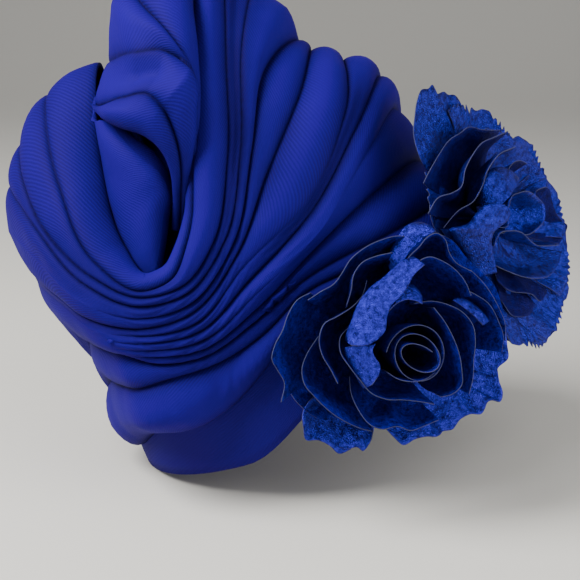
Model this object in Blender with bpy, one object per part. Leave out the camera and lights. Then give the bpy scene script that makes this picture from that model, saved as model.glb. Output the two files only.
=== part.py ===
"""Turban hat: a base cap, a pleated wrap gathered into a rosette, a roll, a fold and two petal flowers.

Real size in metres. The origin is the centre of the head opening, +X is the wearer's front,
+Y the wearer's left, +Z up. Shapes are drawn on a side drawing of the wearer's right side in
millimetres (across, up, toward) and turned into the hat's frame by hat_point().
"""
import math

import bmesh
import bpy
import numpy as np

MM = 0.001

# side drawing
DRAWING_TURN = math.radians(-10)
DRAWING_LIFT = math.radians(15)

# base cap
RIM_PITCH = math.radians(22)
CAP_AXES = np.array((100.0, 80.0, 134.0))
CAP_WALL = 2.0
NAPE_DROP = 5.0
CAP_SIDES = 24
CAP_RINGS = 8

# padded cloth
WRAP_WALL = 2.5
WRAP_CLEARANCE = 5.0
WRAP_SEAT = 2.9
PAD_HEIGHT = 10.0
PAD_RATE = 0.055
STEPS_PER_PLEAT = 3

# Seams of the wrap on the side drawing, millimetres (across, up).
# fan tip, fan upper, fan lower, gather in, gather low, gather out, shell lower, shell upper, shell tip
SEAMS = (
    ((-65, 190), (-62, 148), (-61, 105), (-62, 68), (-69, 52), (-79, 47), (-91, 62), (-103, 98), (-110, 155)),
    ((-63, 195), (-60, 147), (-59, 105), (-61, 64), (-69, 46), (-83, 41), (-104, 54), (-123, 91), (-136, 140)),
    ((-48, 197), (-45, 147), (-44, 100), (-50, 63), (-63, 44), (-84, 38), (-105, 47), (-130, 70), (-149, 116)),
    ((-34, 190), (-38, 149), (-38, 105), (-45, 64), (-62, 40), (-85, 34), (-109, 44), (-133, 69), (-155, 94)),
    ((-11, 165), (-29, 139), (-33, 105), (-42, 61), (-61, 35), (-85, 29), (-108, 36), (-130, 55), (-153, 71)),
    ((-5, 161), (-12, 130), (-26, 95), (-40, 57), (-60, 31), (-84, 24), (-104, 27), (-123, 38), (-143, 51)),
    ((11, 157), (10, 124), (-7, 83), (-37, 52), (-59, 26), (-83, 21), (-102, 24), (-119, 34), (-139, 44)),
    ((30, 149), (15, 117), (-6, 77), (-34, 46), (-58, 22), (-81, 18), (-99, 21), (-116, 29), (-135, 36)),
    ((38, 132), (20, 108), (-4, 69), (-32, 40), (-57, 18), (-79, 15), (-97, 18), (-112, 24), (-129, 28)),
    ((52, 106), (25, 88), (-3, 62), (-31, 33), (-57, 14), (-78, 12), (-94, 15), (-107, 19), (-122, 21)),
    ((60, 81), (28, 66), (-9, 46), (-33, 26), (-55, 11), (-76, 8), (-91, 12), (-102, 14), (-116, 15)),
    ((70, 61), (33, 55), (-10, 39), (-27, 22), (-51, 7), (-73, 0), (-85, -4), (-94, -4), (-106, -6)),
    ((82, 40), (36, 41), (-12, 27), (-26, 6), (-46, -16), (-67, -28), (-76, -29), (-84, -30), (-94, -34)),
)
# Depth of each seam toward the viewer: fan tip, gather, shell tip; and where it ends on the rim
# at the wearer's left, degrees from the front: fan end, shell end.
SEAM_DEPTHS = (
    (44, 92, 35, 104, 107),
    (46, 102, 25, 100, 110),
    (42, 102, 25, 95, 115),
    (38, 101, 25, 90, 121),
    (30, 99, 25, 83, 126),
    (28, 98, 25, 77, 131),
    (26, 97, 24, 70, 136),
    (23, 96, 23, 63, 141),
    (19, 95, 22, 55, 146),
    (13, 93, 21, 47, 151),
    (10, 91, 20, 40, 155),
    (5, 88, 15, 33, 160),
    (2, 80, 10, 26, 165),
)
# Share of the way from tip depth to gather depth at the nine drawing points
DEPTH_SHARE = (0, 0.745, 0.943, 1, 1, 1, 0.93, 0.72, 0)
# Minor seams that fade: strength at the nine drawing points
FADING_SEAMS = {
    4: (1, 1, 1, 1, 1, 0.6, 0, 0, 0),
    6: (1, 1, 0.4, 0.5, 1, 0.7, 0, 0, 0),
    7: (1, 1, 1, 1, 1, 0.7, 0, 0, 0),
    8: (1, 0.5, 0, 0.4, 1, 0.7, 0, 0, 0),
    9: (1, 1, 1, 1, 1, 0.7, 0, 0, 0),
}
FAR_RIM_HEIGHT = 15.0
FAR_LEVEL = 1.07
FAR_SHARES = (0.36, 0.7, 1.0)
WRAP_STEPS = (2, 2, 2, 3, 3, 3, 2, 2, 2, 3, 3, 2, 2, 2)

# Roll out of the rosette: each seam from the hollow to the turn over the crown (across, up, toward)
ROLL_SEAMS = (
    ((-66, 70, 88), (-65.3, 91, 97), (-64.3, 115, 105), (-68, 147, 104), (-76, 165, 90), (-91, 184, 60), (-91, 193, 28)),
    ((-68, 72, 87), (-67, 94, 98), (-66, 122, 108), (-70, 144, 111), (-83, 152, 99), (-100, 155, 72), (-97, 185, 33)),
    ((-69, 75, 86), (-69, 97, 100), (-70, 114, 112), (-78, 126, 113), (-90, 127, 110), (-102, 127, 96), (-99, 174, 40)),
    ((-70, 77, 86), (-70, 90, 99), (-74, 101, 109), (-83, 109, 110), (-92, 115, 107), (-101, 121, 96), (-98, 164, 47)),
)
ROLL_FAR_SHARES = ((0.1, 0.4, 0.66, 0.88), (-0.15, 0.3, 0.7, 1.15), (-0.6, 0.1, 0.9, 1.6))
ROLL_LIFTS = (16.0, 13.5, 10.5)
ROLL_WALL = 2.0
ROLL_STEPS = (2, 2, 2, 2, 2, 3, 2, 2, 2)

# Fold between shell and roll: its free edge from the gather up (across, up, toward)
FOLD_EDGE = (
    (-77, 53, 93), (-76, 64, 92), (-75, 76, 90), (-74, 88, 89), (-75, 98, 89), (-79, 109, 89), (-86, 118, 88),
)
FOLD_BESIDE = (0.9, 0.4, -1.1)
FOLD_START = 0.06
FOLD_REACH = 0.74
FOLD_WALL = 2.0

# Flowers on the side drawing: base centre, facing, size against the layer table,
# and the side where the petals are pressed short by the other flower
FLOWERS = (
    ("temple", (30, 16.5, 84), (0.30, -0.10, 0.95), 0.95, 30),
    ("forehead", (77, 73.1, 52.7), (0.79, 0.08, 0.61), 1.03, 226),
)
PRESSED_SHARE = 0.30
PETAL_WALL = 1.3
LAYER_SIDES = 28
LAYER_RINGS = 3
LAYER_HOLE = 2.0
BUD_TURNS = 2.6
BUD_FOOT = 5.5
# layer: petals, turn degrees, flat radius, flat height, reach, edge height, cup, notch, curl
FLOWER_LAYERS = (
    ("inner", 3, 20, 9.0, 5.1, 25, 36, 0.75, 0.12, 2.0),
    ("middle", 5, 50, 10.5, 3.4, 40, 31, 0.85, 0.13, 4.0),
    ("outer", 6, 10, 12.0, 1.7, 52, 19, 0.95, 0.14, 6.0),
    ("outermost", 7, 35, 13.5, 0.0, 60, 4, 1.00, 0.15, 6.0),
)


def turn_rows():
    across = np.array((math.cos(DRAWING_TURN), math.sin(DRAWING_TURN), 0))
    toward = np.array((math.sin(DRAWING_TURN) * math.cos(DRAWING_LIFT),
                       -math.cos(DRAWING_TURN) * math.cos(DRAWING_LIFT),
                       math.sin(DRAWING_LIFT)))
    return np.array((across, np.cross(toward, across), toward))


DRAWING = turn_rows()
RIM_TURN = np.array(((math.cos(RIM_PITCH), 0, math.sin(RIM_PITCH)),
                     (0, 1, 0),
                     (-math.sin(RIM_PITCH), 0, math.cos(RIM_PITCH))))


def hat_point(drawn):
    return np.asarray(drawn, float) @ DRAWING


def on_rim(point):
    return np.asarray(point, float) @ RIM_TURN.T


def off_rim(point):
    return np.asarray(point, float) @ RIM_TURN


def cap_height(point):
    """Distance above the cap's outer surface, and the way out from it."""
    local = on_rim(point)
    level = np.linalg.norm(local / CAP_AXES, axis=-1, keepdims=True)
    slope = local / (CAP_AXES ** 2 * level)
    steep = np.linalg.norm(slope, axis=-1, keepdims=True)
    return (level - 1) / steep, off_rim(slope / steep)


def lift_off_cap(points, least):
    for _ in range(3):
        height, out = cap_height(points)
        points = points + out * np.maximum(least - height, 0)
    return points


def seat_on_cap(points, height_above):
    for _ in range(3):
        height, out = cap_height(points)
        points = points + out * (height_above - height)
    return points


def dome_path(start, end_angle, end_height, end_level, shares):
    """Points from start round the dome to a place above the left rim."""
    local = on_rim(start) / CAP_AXES
    level = np.linalg.norm(local)
    first = local / level
    rise = end_height / CAP_AXES[2]
    flat = math.sqrt(1 - rise ** 2)
    last = np.array((flat * math.cos(end_angle), flat * math.sin(end_angle), rise))
    whole = math.acos(float(np.clip(first @ last, -1, 1)))
    path = []
    for share in shares:
        mix = (first * math.sin((1 - share) * whole) + last * math.sin(share * whole)) / math.sin(whole)
        path.append(off_rim(mix * CAP_AXES * (level + (end_level - level) * share)))
    return path


def through(points, steps):
    """A smooth curve through the points, with the given number of steps in each span."""
    points = np.asarray(points, float)
    span = np.linalg.norm(points[1:] - points[:-1], axis=1) + 1e-6
    chord = (points[1:] - points[:-1]) / span[:, None]
    slope = np.empty_like(points)
    slope[0] = chord[0]
    slope[-1] = chord[-1]
    near = span[1:, None]
    far = span[:-1, None]
    slope[1:-1] = (chord[:-1] * near + chord[1:] * far) / (near + far)
    curve = []
    for k, count in enumerate(steps):
        for i in range(count):
            t = i / count
            curve.append((2 * t ** 3 - 3 * t ** 2 + 1) * points[k]
                         + (t ** 3 - 2 * t ** 2 + t) * span[k] * slope[k]
                         + (3 * t ** 2 - 2 * t ** 3) * points[k + 1]
                         + (t ** 3 - t ** 2) * span[k] * slope[k + 1])
    curve.append(points[-1])
    return np.array(curve)


def across_rows(rows, steps):
    """Fill in between the seams: one smooth curve across them at every station."""
    columns = [through(rows[:, k], [steps] * (len(rows) - 1)) for k in range(rows.shape[1])]
    return np.array(columns).transpose(1, 0, 2)


def grid_normals(grid):
    along = np.gradient(grid, axis=1)
    across = np.gradient(grid, axis=0)
    normal = np.cross(along, across)
    return normal / (np.linalg.norm(normal, axis=2, keepdims=True) + 1e-9)


def pad_rise(rows, steps, strength):
    """Height of the padding over the base sheet: none at a seam, most in the middle of a pleat."""
    gaps = np.linalg.norm(rows[1:] - rows[:-1], axis=2)
    place = np.vstack((np.zeros(rows.shape[1]), np.cumsum(gaps, axis=0)))
    count = len(rows)
    rise = np.zeros(((count - 1) * steps + 1, rows.shape[1]))
    kept = [j for j in range(count) if strength[j] is None]
    for line in range(rise.shape[0]):
        j = min(line // steps, count - 2)
        share = (line - j * steps) / steps
        here = place[j] + (place[j + 1] - place[j]) * share
        low = max(k for k in kept if k <= j)
        high = min(k for k in kept if k > j)
        close = pad_height(here - place[j], place[j + 1] - here)
        wide = pad_height(here - place[low], place[high] - here)
        first = 1.0 if strength[j] is None else strength[j]
        second = 1.0 if strength[j + 1] is None else strength[j + 1]
        held = first * (1 - share) + second * share
        rise[line] = wide + (close - wide) * held
    return rise


def pad_height(left, right):
    return PAD_HEIGHT * (1 - np.exp(-PAD_RATE * 2 * np.sqrt(np.maximum(left * right, 0))))


def closed_sheet(outer, inner, loop=False):
    """Vertices and faces of a closed body between two grids of the same size."""
    lines, columns = outer.shape[:2]
    verts = np.vstack((outer.reshape(-1, 3), inner.reshape(-1, 3)))
    back = lines * columns
    faces = []
    across = lines if loop else lines - 1
    for i in range(across):
        below = (i + 1) % lines
        for k in range(columns - 1):
            a, b = i * columns + k, i * columns + k + 1
            c, d = below * columns + k + 1, below * columns + k
            faces.append((a, b, c, d))
            faces.append((back + d, back + c, back + b, back + a))
        first, last = i * columns, i * columns + columns - 1
        under_first, under_last = below * columns, below * columns + columns - 1
        faces.append((first, under_first, back + under_first, back + first))
        faces.append((under_last, last, back + last, back + under_last))
    if not loop:
        for k in range(columns - 1):
            faces.append((k + 1, k, back + k, back + k + 1))
            bottom = (lines - 1) * columns
            faces.append((bottom + k, bottom + k + 1, back + bottom + k + 1, back + bottom + k))
    return verts, faces


def volume(verts, faces):
    total = 0.0
    for face in faces:
        for k in range(1, len(face) - 1):
            total += np.dot(verts[face[0]], np.cross(verts[face[k]], verts[face[k + 1]]))
    return total / 6


def add_node(name, verts, faces, material):
    if volume(verts, faces) < 0:
        faces = [tuple(reversed(face)) for face in faces]
    mesh = bpy.data.meshes.new(name)
    shape = bmesh.new()
    points = [shape.verts.new(tuple(v * MM)) for v in verts]
    for face in faces:
        shape.faces.new([points[k] for k in face])
    bmesh.ops.triangulate(shape, faces=shape.faces[:], quad_method="SHORT_EDGE")
    shape.to_mesh(mesh)
    shape.free()
    for polygon in mesh.polygons:
        polygon.use_smooth = True
    node = bpy.data.objects.new(name, mesh)
    node.data.materials.append(material)
    bpy.context.scene.collection.objects.link(node)
    return node


def finish(name, colour, roughness, metallic):
    material = bpy.data.materials.new(name)
    material.use_nodes = True
    shader = material.node_tree.nodes["Principled BSDF"]
    shader.inputs["Base Color"].default_value = (*colour, 1)
    shader.inputs["Roughness"].default_value = roughness
    shader.inputs["Metallic"].default_value = metallic
    return material


def base_cap():
    outer = []
    inner = []
    inner_axes = CAP_AXES - CAP_WALL
    for i in range(CAP_SIDES):
        turn = 2 * math.pi * i / CAP_SIDES
        drop = NAPE_DROP * (0.5 - 0.5 * math.cos(turn)) ** 2
        for line, axes in ((outer, CAP_AXES), (inner, inner_axes)):
            column = [(axes[0] * math.cos(turn), axes[1] * math.sin(turn), -drop)]
            for k in range(CAP_RINGS):
                lift = math.radians(90) * k / CAP_RINGS
                column.append((axes[0] * math.cos(lift) * math.cos(turn),
                               axes[1] * math.cos(lift) * math.sin(turn),
                               axes[2] * math.sin(lift) + 0.5))
            line.append(column)
    outer = off_rim(np.array(outer))
    inner = off_rim(np.array(inner))
    verts, faces = closed_sheet(outer, inner, loop=True)
    columns = CAP_RINGS + 1
    faces = [f for f in faces if not crown_strip(f, columns, CAP_SIDES)]
    back = CAP_SIDES * columns
    top = off_rim(np.array(((0, 0, CAP_AXES[2] + 0.5), (0, 0, inner_axes[2] + 0.5))))
    verts = np.vstack((verts, top))
    for i in range(CAP_SIDES):
        a = i * columns + columns - 1
        b = ((i + 1) % CAP_SIDES) * columns + columns - 1
        faces.append((a, len(verts) - 2, b))
        faces.append((back + b, len(verts) - 1, back + a))
    return verts, faces


def crown_strip(face, columns, sides):
    """True for the strip that would join the two walls at the crown, which a point closes instead."""
    back = sides * columns
    ends = [v for v in face if (v % columns) == columns - 1]
    return len(ends) == 4 and min(face) < back <= max(face)


def seam_controls():
    rows = []
    for drawn, (fan_depth, gather_depth, shell_depth, fan_end, shell_end) in zip(SEAMS, SEAM_DEPTHS):
        near = []
        for k, (place, share) in enumerate(zip(drawn, DEPTH_SHARE)):
            tip = fan_depth if k < 4 else shell_depth
            near.append(hat_point((*place, tip + (gather_depth - tip) * share)))
        fan = dome_path(near[0], math.radians(fan_end), FAR_RIM_HEIGHT, FAR_LEVEL, FAR_SHARES)
        shell = dome_path(near[-1], math.radians(shell_end), FAR_RIM_HEIGHT, FAR_LEVEL, FAR_SHARES)
        rows.append(fan[::-1] + near + shell)
    return np.array(rows)


def stretch(values, steps):
    """Strengths at the drawing points, carried along the whole seam."""
    whole = [values[0]] * 3 + list(values) + [values[-1]] * 3
    line = []
    for k, count in enumerate(steps):
        for i in range(count):
            line.append(whole[k] + (whole[k + 1] - whole[k]) * i / count)
    line.append(whole[-1])
    return np.array(line)


def head_wrap():
    controls = seam_controls()
    rows = np.array([through(row, WRAP_STEPS) for row in controls])
    rows = lift_off_cap(rows, WRAP_CLEARANCE)
    strength = [stretch(FADING_SEAMS[j], WRAP_STEPS) if j in FADING_SEAMS else None for j in range(len(rows))]
    base = lift_off_cap(across_rows(rows, STEPS_PER_PLEAT), WRAP_CLEARANCE)
    for end in (0, -1):
        base[:, end] = seat_on_cap(base[:, end], WRAP_SEAT)
    normal = grid_normals(base)
    for end in (0, -1):
        normal[:, end] = cap_height(base[:, end])[1]
    outer = base + normal * pad_rise(rows, STEPS_PER_PLEAT, strength)[:, :, None]
    inner = base - normal * WRAP_WALL
    return closed_sheet(outer, inner)


def crown_strap(controls):
    """Places for the roll between the wrap's two inner edges on the far side, clear above them."""
    first = controls[0][:3][::-1]
    second = controls[0][-3:]
    rows = []
    for seam in range(len(ROLL_SEAMS)):
        row = []
        for one, two, lift, shares in zip(first, second, ROLL_LIFTS, ROLL_FAR_SHARES):
            a, b = on_rim(one) / CAP_AXES, on_rim(two) / CAP_AXES
            level = max(np.linalg.norm(a), np.linalg.norm(b))
            mix = a * (1 - shares[seam]) + b * shares[seam]
            mix = mix / np.linalg.norm(mix) * level
            point = off_rim(mix * CAP_AXES)
            row.append(point + cap_height(point)[1] * lift)
        rows.append(row)
    return rows


def inner_roll():
    far = crown_strap(seam_controls())
    rows = []
    for drawn, tail in zip(ROLL_SEAMS, far):
        near = [hat_point(point) for point in drawn]
        rows.append(through(near + tail, ROLL_STEPS))
    rows = np.array(rows)
    base = across_rows(rows, STEPS_PER_PLEAT)
    normal = grid_normals(base)
    outer = base + normal * pad_rise(rows, STEPS_PER_PLEAT, [None] * len(rows))[:, :, None]
    inner = base - normal * ROLL_WALL
    return closed_sheet(outer, inner)


def inner_fold():
    edge = [hat_point(point) for point in FOLD_EDGE]
    seam = through(seam_controls()[0], WRAP_STEPS)
    stations = np.cumsum((0,) + WRAP_STEPS)
    start, stop = stations[8], stations[11]
    run = seam[start:stop + 1]
    place = np.linspace(FOLD_START, FOLD_REACH, len(edge)) * (len(run) - 1)
    beside = np.array([run[int(p)] + (run[min(int(p) + 1, len(run) - 1)] - run[int(p)]) * (p - int(p)) for p in place])
    beside = beside + hat_point(FOLD_BESIDE)
    steps = [2] * (len(edge) - 1)
    rows = np.array((through(edge, steps), through(beside, steps)))
    base = across_rows(rows, 4)
    normal = grid_normals(base)
    outer = base + normal * (pad_rise(rows, 4, (None, None)) * 0.6)[:, :, None]
    inner = base - normal * FOLD_WALL
    return closed_sheet(outer, inner)


def flower_frame(base, facing):
    out = hat_point(facing)
    out = out / np.linalg.norm(out)
    side = np.cross(hat_point((0, 1, 0)), out)
    side = side / np.linalg.norm(side)
    return hat_point(base), side, np.cross(out, side), out


def petal_layer(frame, size, pressed, petals, turn, flat, low, reach, high, cup, notch, curl):
    """One layer of petals as a lobed, ruffled ring."""
    centre, side, up, out = frame
    reach = reach * size
    top = []
    bottom = []
    for i in range(LAYER_SIDES):
        angle = 2 * math.pi * i / LAYER_SIDES
        lobe = abs(math.cos(petals * (angle - math.radians(turn)) / 2))
        near = max(0.0, math.cos(angle - math.radians(pressed)))
        edge = reach * (1 - notch * (1 - lobe) ** 1.5) * (1 - PRESSED_SHARE * near ** 2)
        wave = curl * math.sin(petals * 2 * angle + 1.3) * 0.35 - curl * (lobe - 0.6) * 0.5
        line = []
        under = []
        for k in range(-1, LAYER_RINGS + 1):
            share = max(k, 0) / LAYER_RINGS
            radius = LAYER_HOLE if k < 0 else flat + (edge - flat) * share
            height = low + (high - low) * share ** cup + wave * share ** 2
            place = centre + (side * math.cos(angle) + up * math.sin(angle)) * radius + out * height
            steep = math.atan2(high - low, reach - flat) if k > 0 else 0
            down = out * math.cos(steep) - (side * math.cos(angle) + up * math.sin(angle)) * math.sin(steep)
            line.append(place)
            under.append(place - down * PETAL_WALL)
        top.append(line)
        bottom.append(under)
    return closed_sheet(np.array(top), np.array(bottom), loop=True)


def flower_bud(frame):
    """The rolled centre: a strip wound in a spiral."""
    centre, side, up, out = frame
    lines = 20
    top = []
    bottom = []
    for i in range(lines + 1):
        share = i / lines
        angle = BUD_TURNS * 2 * math.pi * share
        way = side * math.cos(angle) + up * math.sin(angle)
        radius = 1.6 + 5.9 * share
        crest = 41 - 7 * share
        line = []
        under = []
        for level in (0, 0.5, 1):
            place = centre + out * (BUD_FOOT + (crest - BUD_FOOT) * level)
            flare = radius * (0.75 + 0.35 * level)
            line.append(place + way * (flare + 0.55))
            under.append(place + way * (flare - 0.55))
        top.append(line)
        bottom.append(under)
    return closed_sheet(np.array(top), np.array(bottom))


for old in list(bpy.data.objects):
    bpy.data.objects.remove(old, do_unlink=True)

add_node("base_cap", *base_cap(), finish("cap cloth", (0.020, 0.028, 0.30), 0.75, 0.0))
add_node("head_wrap", *head_wrap(), finish("padded cloth", (0.020, 0.028, 0.36), 0.70, 0.0))
add_node("inner_roll", *inner_roll(), finish("roll cloth", (0.020, 0.028, 0.36), 0.70, 0.0))
add_node("inner_fold", *inner_fold(), finish("fold cloth", (0.020, 0.028, 0.36), 0.70, 0.0))
for flower, base, facing, size, pressed in FLOWERS:
    frame = flower_frame(base, facing)
    add_node(flower + "_flower_bud", *flower_bud(frame), finish(flower + " bud foil", (0.01, 0.04, 0.45), 0.32, 0.9))
    for layer, *shape in FLOWER_LAYERS:
        leather = finish(flower + " " + layer + " foil", (0.01, 0.04, 0.45), 0.32, 0.9)
        add_node(flower + "_flower_" + layer, *petal_layer(frame, size, pressed, *shape), leather)
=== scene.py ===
"""Turban hat in padded royal blue cloth with two foil leather flowers: the finished look.

The cloth sheets follow the same seams as the solids, at full fineness. Shapes are drawn on a side
drawing of the wearer's right side in millimetres (across, up, toward), and hat_point() turns them
into the hat's frame: metres, origin at the centre of the head opening, +X the wearer's front.
"""
import math

import bmesh
import bpy
import numpy as np
from mathutils import Matrix, Vector


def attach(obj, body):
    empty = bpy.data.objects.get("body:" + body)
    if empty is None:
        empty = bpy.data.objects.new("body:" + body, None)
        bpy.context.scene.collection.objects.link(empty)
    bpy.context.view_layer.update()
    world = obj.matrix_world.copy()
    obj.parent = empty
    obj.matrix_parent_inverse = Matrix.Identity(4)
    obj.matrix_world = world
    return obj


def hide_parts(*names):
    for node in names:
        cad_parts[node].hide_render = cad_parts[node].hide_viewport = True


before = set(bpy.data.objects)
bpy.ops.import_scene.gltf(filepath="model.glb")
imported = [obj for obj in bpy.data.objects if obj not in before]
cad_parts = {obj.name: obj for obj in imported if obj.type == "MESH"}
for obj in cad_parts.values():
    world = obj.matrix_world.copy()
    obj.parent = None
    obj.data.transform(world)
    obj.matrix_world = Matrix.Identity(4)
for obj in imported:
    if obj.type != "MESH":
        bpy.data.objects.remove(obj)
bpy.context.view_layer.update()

MM = 0.001
ROOT = "root"
DRAWING_TURN = math.radians(-10)
DRAWING_LIFT = math.radians(15)
RIM_PITCH = math.radians(22)
CAP_AXES = np.array((100.0, 80.0, 134.0))
NAPE_DROP = 5.0
EAR_RISE = 21.0

# Seams of the wrap on the side drawing, millimetres (across, up).
# fan tip, fan upper, fan lower, gather in, gather low, gather out, shell lower, shell upper, shell tip
SEAMS = (
    ((-65, 190), (-62, 148), (-61, 105), (-62, 68), (-69, 52), (-79, 47), (-91, 62), (-103, 98), (-110, 155)),
    ((-63, 195), (-60, 147), (-59, 105), (-61, 64), (-69, 46), (-83, 41), (-104, 54), (-123, 91), (-136, 140)),
    ((-48, 197), (-45, 147), (-44, 100), (-50, 63), (-63, 44), (-84, 38), (-105, 47), (-130, 70), (-149, 116)),
    ((-34, 190), (-38, 149), (-38, 105), (-45, 64), (-62, 40), (-85, 34), (-109, 44), (-133, 69), (-155, 94)),
    ((-11, 165), (-29, 139), (-33, 105), (-42, 61), (-61, 35), (-85, 29), (-108, 36), (-130, 55), (-153, 71)),
    ((-5, 161), (-12, 130), (-26, 95), (-40, 57), (-60, 31), (-84, 24), (-104, 27), (-123, 38), (-143, 51)),
    ((11, 157), (10, 124), (-7, 83), (-37, 52), (-59, 26), (-83, 21), (-102, 24), (-119, 34), (-139, 44)),
    ((30, 149), (15, 117), (-6, 77), (-34, 46), (-58, 22), (-81, 18), (-99, 21), (-116, 29), (-135, 36)),
    ((38, 132), (20, 108), (-4, 69), (-32, 40), (-57, 18), (-79, 15), (-97, 18), (-112, 24), (-129, 28)),
    ((52, 106), (25, 88), (-3, 62), (-31, 33), (-57, 14), (-78, 12), (-94, 15), (-107, 19), (-122, 21)),
    ((60, 81), (28, 66), (-9, 46), (-33, 26), (-55, 11), (-76, 8), (-91, 12), (-102, 14), (-116, 15)),
    ((70, 61), (33, 55), (-10, 39), (-27, 22), (-51, 7), (-73, 0), (-85, -4), (-94, -4), (-106, -6)),
    ((82, 40), (36, 41), (-12, 27), (-26, 6), (-46, -16), (-67, -28), (-76, -29), (-84, -30), (-94, -34)),
)
# depth toward the viewer at fan tip, gather and shell tip; end on the left rim, degrees from the front
SEAM_DEPTHS = (
    (44, 92, 35, 104, 107),
    (46, 102, 25, 100, 110),
    (42, 102, 25, 95, 115),
    (38, 101, 25, 90, 121),
    (30, 99, 25, 83, 126),
    (28, 98, 25, 77, 131),
    (26, 97, 24, 70, 136),
    (23, 96, 23, 63, 141),
    (19, 95, 22, 55, 146),
    (13, 93, 21, 47, 151),
    (10, 91, 20, 40, 155),
    (5, 88, 15, 33, 160),
    (2, 80, 10, 26, 165),
)
DEPTH_SHARE = (0, 0.745, 0.943, 1, 1, 1, 0.93, 0.72, 0)
FADING_SEAMS = {
    4: (1, 1, 1, 1, 1, 0.6, 0, 0, 0),
    6: (1, 1, 0.4, 0.5, 1, 0.7, 0, 0, 0),
    7: (1, 1, 1, 1, 1, 0.7, 0, 0, 0),
    8: (1, 0.5, 0, 0.4, 1, 0.7, 0, 0, 0),
    9: (1, 1, 1, 1, 1, 0.7, 0, 0, 0),
}
# share of the full padding of each pleat at the nine drawing points; less than nothing is a hollow
PLEAT_PADDING = (
    (0.5, 0.5, 0.5, 0.8, 1.0, 0.9, 0.35, 0.3, 0.3),
    (1.0, 1.0, 1.0, 1.0, 1.0, 0.9, 0.35, 0.3, 0.3),
    (-0.35, -0.35, -0.3, 0.5, 1.0, 0.9, 0.4, 0.3, 0.3),
    (0.8, 0.7, 0.7, 0.9, 1.0, 0.9, 0.4, 0.3, 0.3),
    (0.7, 0.6, 0.6, 0.9, 1.0, 0.9, 0.4, 0.3, 0.35),
    (0.7, 0.65, 0.6, 0.9, 1.0, 0.9, 0.5, 0.35, 0.4),
    (0.8, 0.1, -0.2, 0.7, 1.0, 0.9, 0.5, 0.4, 0.4),
    (0.7, 0.6, 0.5, 0.9, 1.0, 0.9, 0.5, 0.4, 0.4),
    (0.6, 0.55, 0.5, 0.8, 1.0, 0.9, 0.6, 0.4, 0.4),
    (0.6, 0.55, 0.55, 0.8, 0.9, 0.9, 0.7, 0.5, 0.45),
    (0.6, 0.55, 0.55, 0.7, 0.8, 0.8, 0.7, 0.6, 0.6),
    (0.6, 0.55, 0.5, 0.6, 0.7, 0.7, 0.7, 0.7, 0.7),
)
# least height of the wrap over the cap, and its height where it is tucked down
WRAP_CLEARANCE = 5.0
WRAP_TUCK = 0.6
# grid columns and rows over which the wrap comes down at its far ends and at its sewn edge
END_COLUMNS = 8
HEM_ROWS = 5
# greatest padding, and how fast it grows with the breadth of a pleat
PAD_HEIGHT = 10.0
PAD_RATE = 0.055
# half breadth and depth of the groove along a seam
STITCH_REACH = 0.9
STITCH_DEPTH = 0.6
CLOTH_WALL = 2.0
FOLD_WALL = 1.6
# height, wave length and seed of the ripples that keep each cloth uneven
WRAP_RIPPLES = ((0.6, 46, 3), (0.25, 15, 4))
ROLL_RIPPLES = ((0.4, 30, 7),)
FOLD_RIPPLES = ((0.5, 26, 9),)
# height of the fine folds that run with the seams, at the nine drawing points
FINE_FOLDS = (0.05, 0.1, 0.2, 0.35, 0.4, 0.35, 0.08, 0.0, 0.0)
FINE_FOLD_PITCH = 2.9
# the far side: height of the seams' ends over the rim, their level against the cap, and the points on the way
FAR_RIM_HEIGHT = 15.0
FAR_LEVEL = 1.07
FAR_SHARES = (0.36, 0.7, 1.0)
# grid steps from one drawing point to the next, and from one seam to the next
ALONG_STEPS = 15
ROLL_ALONG_STEPS = 14
ACROSS_STEPS = 12

# seams of the roll from its foot in the hollow, over the crown and round to its left side
ROLL_SEAMS = (
    ((-62.6, 67, 85), (-59.9, 87.2, 92), (-58.2, 109.5, 97), (-57.6, 129.8, 98), (-58.4, 150.8, 94),
     (-59.8, 170.5, 86), (-61.3, 189.3, 69), (-63.5, 204, 41)),
    ((-63.9, 68.3, 87), (-61, 87, 95), (-59.1, 108.9, 103), (-59.3, 128.6, 107), (-63.7, 144.9, 108),
     (-72.7, 159.3, 102), (-84, 173.8, 88), (-93.3, 189.4, 58)),
    ((-64.7, 69.1, 88), (-62.2, 84.6, 97), (-59.5, 104.3, 104), (-58.8, 124, 108), (-61.8, 141.2, 109),
     (-72.1, 148.3, 109), (-84, 148.5, 105), (-97.2, 149, 82)),
    ((-66.1, 69.1, 88), (-64.9, 84.6, 98), (-64.7, 99.7, 106), (-67, 111.6, 111), (-72.1, 122.4, 113),
     (-78.9, 128.3, 112), (-89.7, 127.8, 106), (-101, 127, 86)),
    ((-70.1, 70.2, 84), (-69.1, 84.7, 96), (-70, 96.4, 102), (-74.1, 104.6, 106), (-81.6, 110.3, 107),
     (-89.9, 113.2, 105), (-97.4, 116.7, 98), (-104.8, 122.9, 80)),
)
# share of the full padding of each of the roll's pleats at its drawing points
ROLL_PADDING = (
    (0.6, 0.6, 0.7, 0.7, 0.7, 0.7, 0.7, 0.7),
    (0.8, 0.8, 0.7, 0.7, 0.9, 0.8, 0.5, 0.25),
    (0.7, 0.7, 0.8, 0.9, 1.1, -0.5, -0.75, 0.25),
    (0.6, 0.7, 0.8, 0.9, 0.9, 0.9, 0.9, 0.6),
)
# place of the roll's seams at three points on the far side: share of the way from the wrap's fan edge to its
# shell edge, and height over the wrap's edges
ROLL_FAR_SHARES = (
    (-0.55, -0.06, 0.4, 0.66, 0.88),
    (-0.6, -0.2, 0.3, 0.7, 1.15),
    (-0.85, -0.5, 0.1, 0.9, 1.6),
)
ROLL_FAR_LIFTS = (
    (6.0, 15.0, 16.0, 16.0, 16.0),
    (3.0, 12.0, 13.5, 13.5, 13.5),
    (3.5, 9.0, 10.5, 10.5, 10.5),
)
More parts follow.
